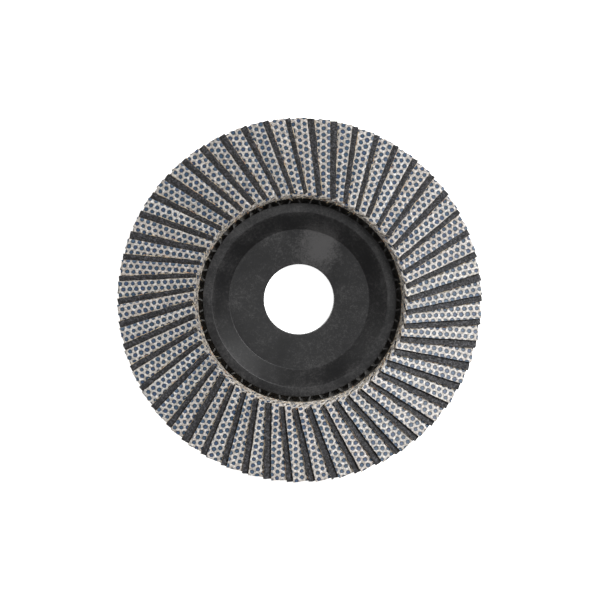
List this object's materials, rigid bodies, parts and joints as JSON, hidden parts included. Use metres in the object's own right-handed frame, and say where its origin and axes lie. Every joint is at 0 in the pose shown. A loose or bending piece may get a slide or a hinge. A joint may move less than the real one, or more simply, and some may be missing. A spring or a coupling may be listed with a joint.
{
  "type": "flap disc",
  "caption": "Flap disc for an angle grinder: a ring of overlapping dotted abrasive flaps over black spacer flaps, glued to a moulded plate with a clamp recess and a central bore.",
  "frame": {"origin": "on the disc's axis, at the hub's flat back face", "axes": "+Z along the axis, out of the abrasive face; X and Y in the plane of the disc"},
  "size_m": [0.115, 0.115, 0.0154],
  "materials": {
    "plate": "black moulded plastic with a fine even texture",
    "adhesive": "cured black epoxy, glossy where it wets the ribs",
    "dotted_cloth": "cream coated cloth with round blue dots in staggered rows",
    "spacer_cloth": "black coated cloth with a fine grit"
  },
  "bodies": {
    "root": {"backing_plate": "plate", "adhesive_bed": "adhesive", "flap_01": "dotted_cloth", "flap_02": "dotted_cloth", "flap_03": "dotted_cloth", "flap_04": "dotted_cloth", "flap_05": "dotted_cloth", "flap_06": "dotted_cloth", "flap_07": "dotted_cloth", "flap_08": "dotted_cloth", "flap_09": "dotted_cloth", "flap_10": "dotted_cloth", "flap_11": "dotted_cloth", "flap_12": "dotted_cloth", "flap_13": "dotted_cloth", "flap_14": "dotted_cloth", "flap_15": "dotted_cloth", "flap_16": "dotted_cloth", "flap_17": "dotted_cloth", "flap_18": "dotted_cloth", "flap_19": "dotted_cloth", "flap_20": "dotted_cloth", "flap_21": "dotted_cloth", "flap_22": "dotted_cloth", "flap_23": "dotted_cloth", "flap_24": "dotted_cloth", "flap_25": "dotted_cloth", "flap_26": "dotted_cloth", "flap_27": "dotted_cloth", "flap_28": "dotted_cloth", "flap_29": "dotted_cloth", "flap_30": "dotted_cloth", "flap_31": "dotted_cloth", "flap_32": "dotted_cloth", "flap_33": "dotted_cloth", "flap_34": "dotted_cloth", "flap_35": "dotted_cloth", "flap_36": "dotted_cloth", "flap_37": "dotted_cloth", "flap_38": "dotted_cloth", "flap_39": "dotted_cloth", "flap_40": "dotted_cloth", "flap_41": "dotted_cloth", "flap_42": "dotted_cloth", "flap_43": "dotted_cloth", "flap_44": "dotted_cloth", "flap_45": "dotted_cloth", "flap_46": "dotted_cloth", "flap_47": "dotted_cloth", "flap_48": "dotted_cloth", "flap_49": "dotted_cloth", "flap_50": "dotted_cloth", "spacer_set_1": "spacer_cloth", "spacer_set_2": "spacer_cloth", "spacer_set_3": "spacer_cloth", "spacer_set_4": "spacer_cloth", "spacer_set_5": "spacer_cloth", "spacer_set_6": "spacer_cloth", "spacer_set_7": "spacer_cloth", "spacer_set_8": "spacer_cloth"}
  },
  "joints": []
}
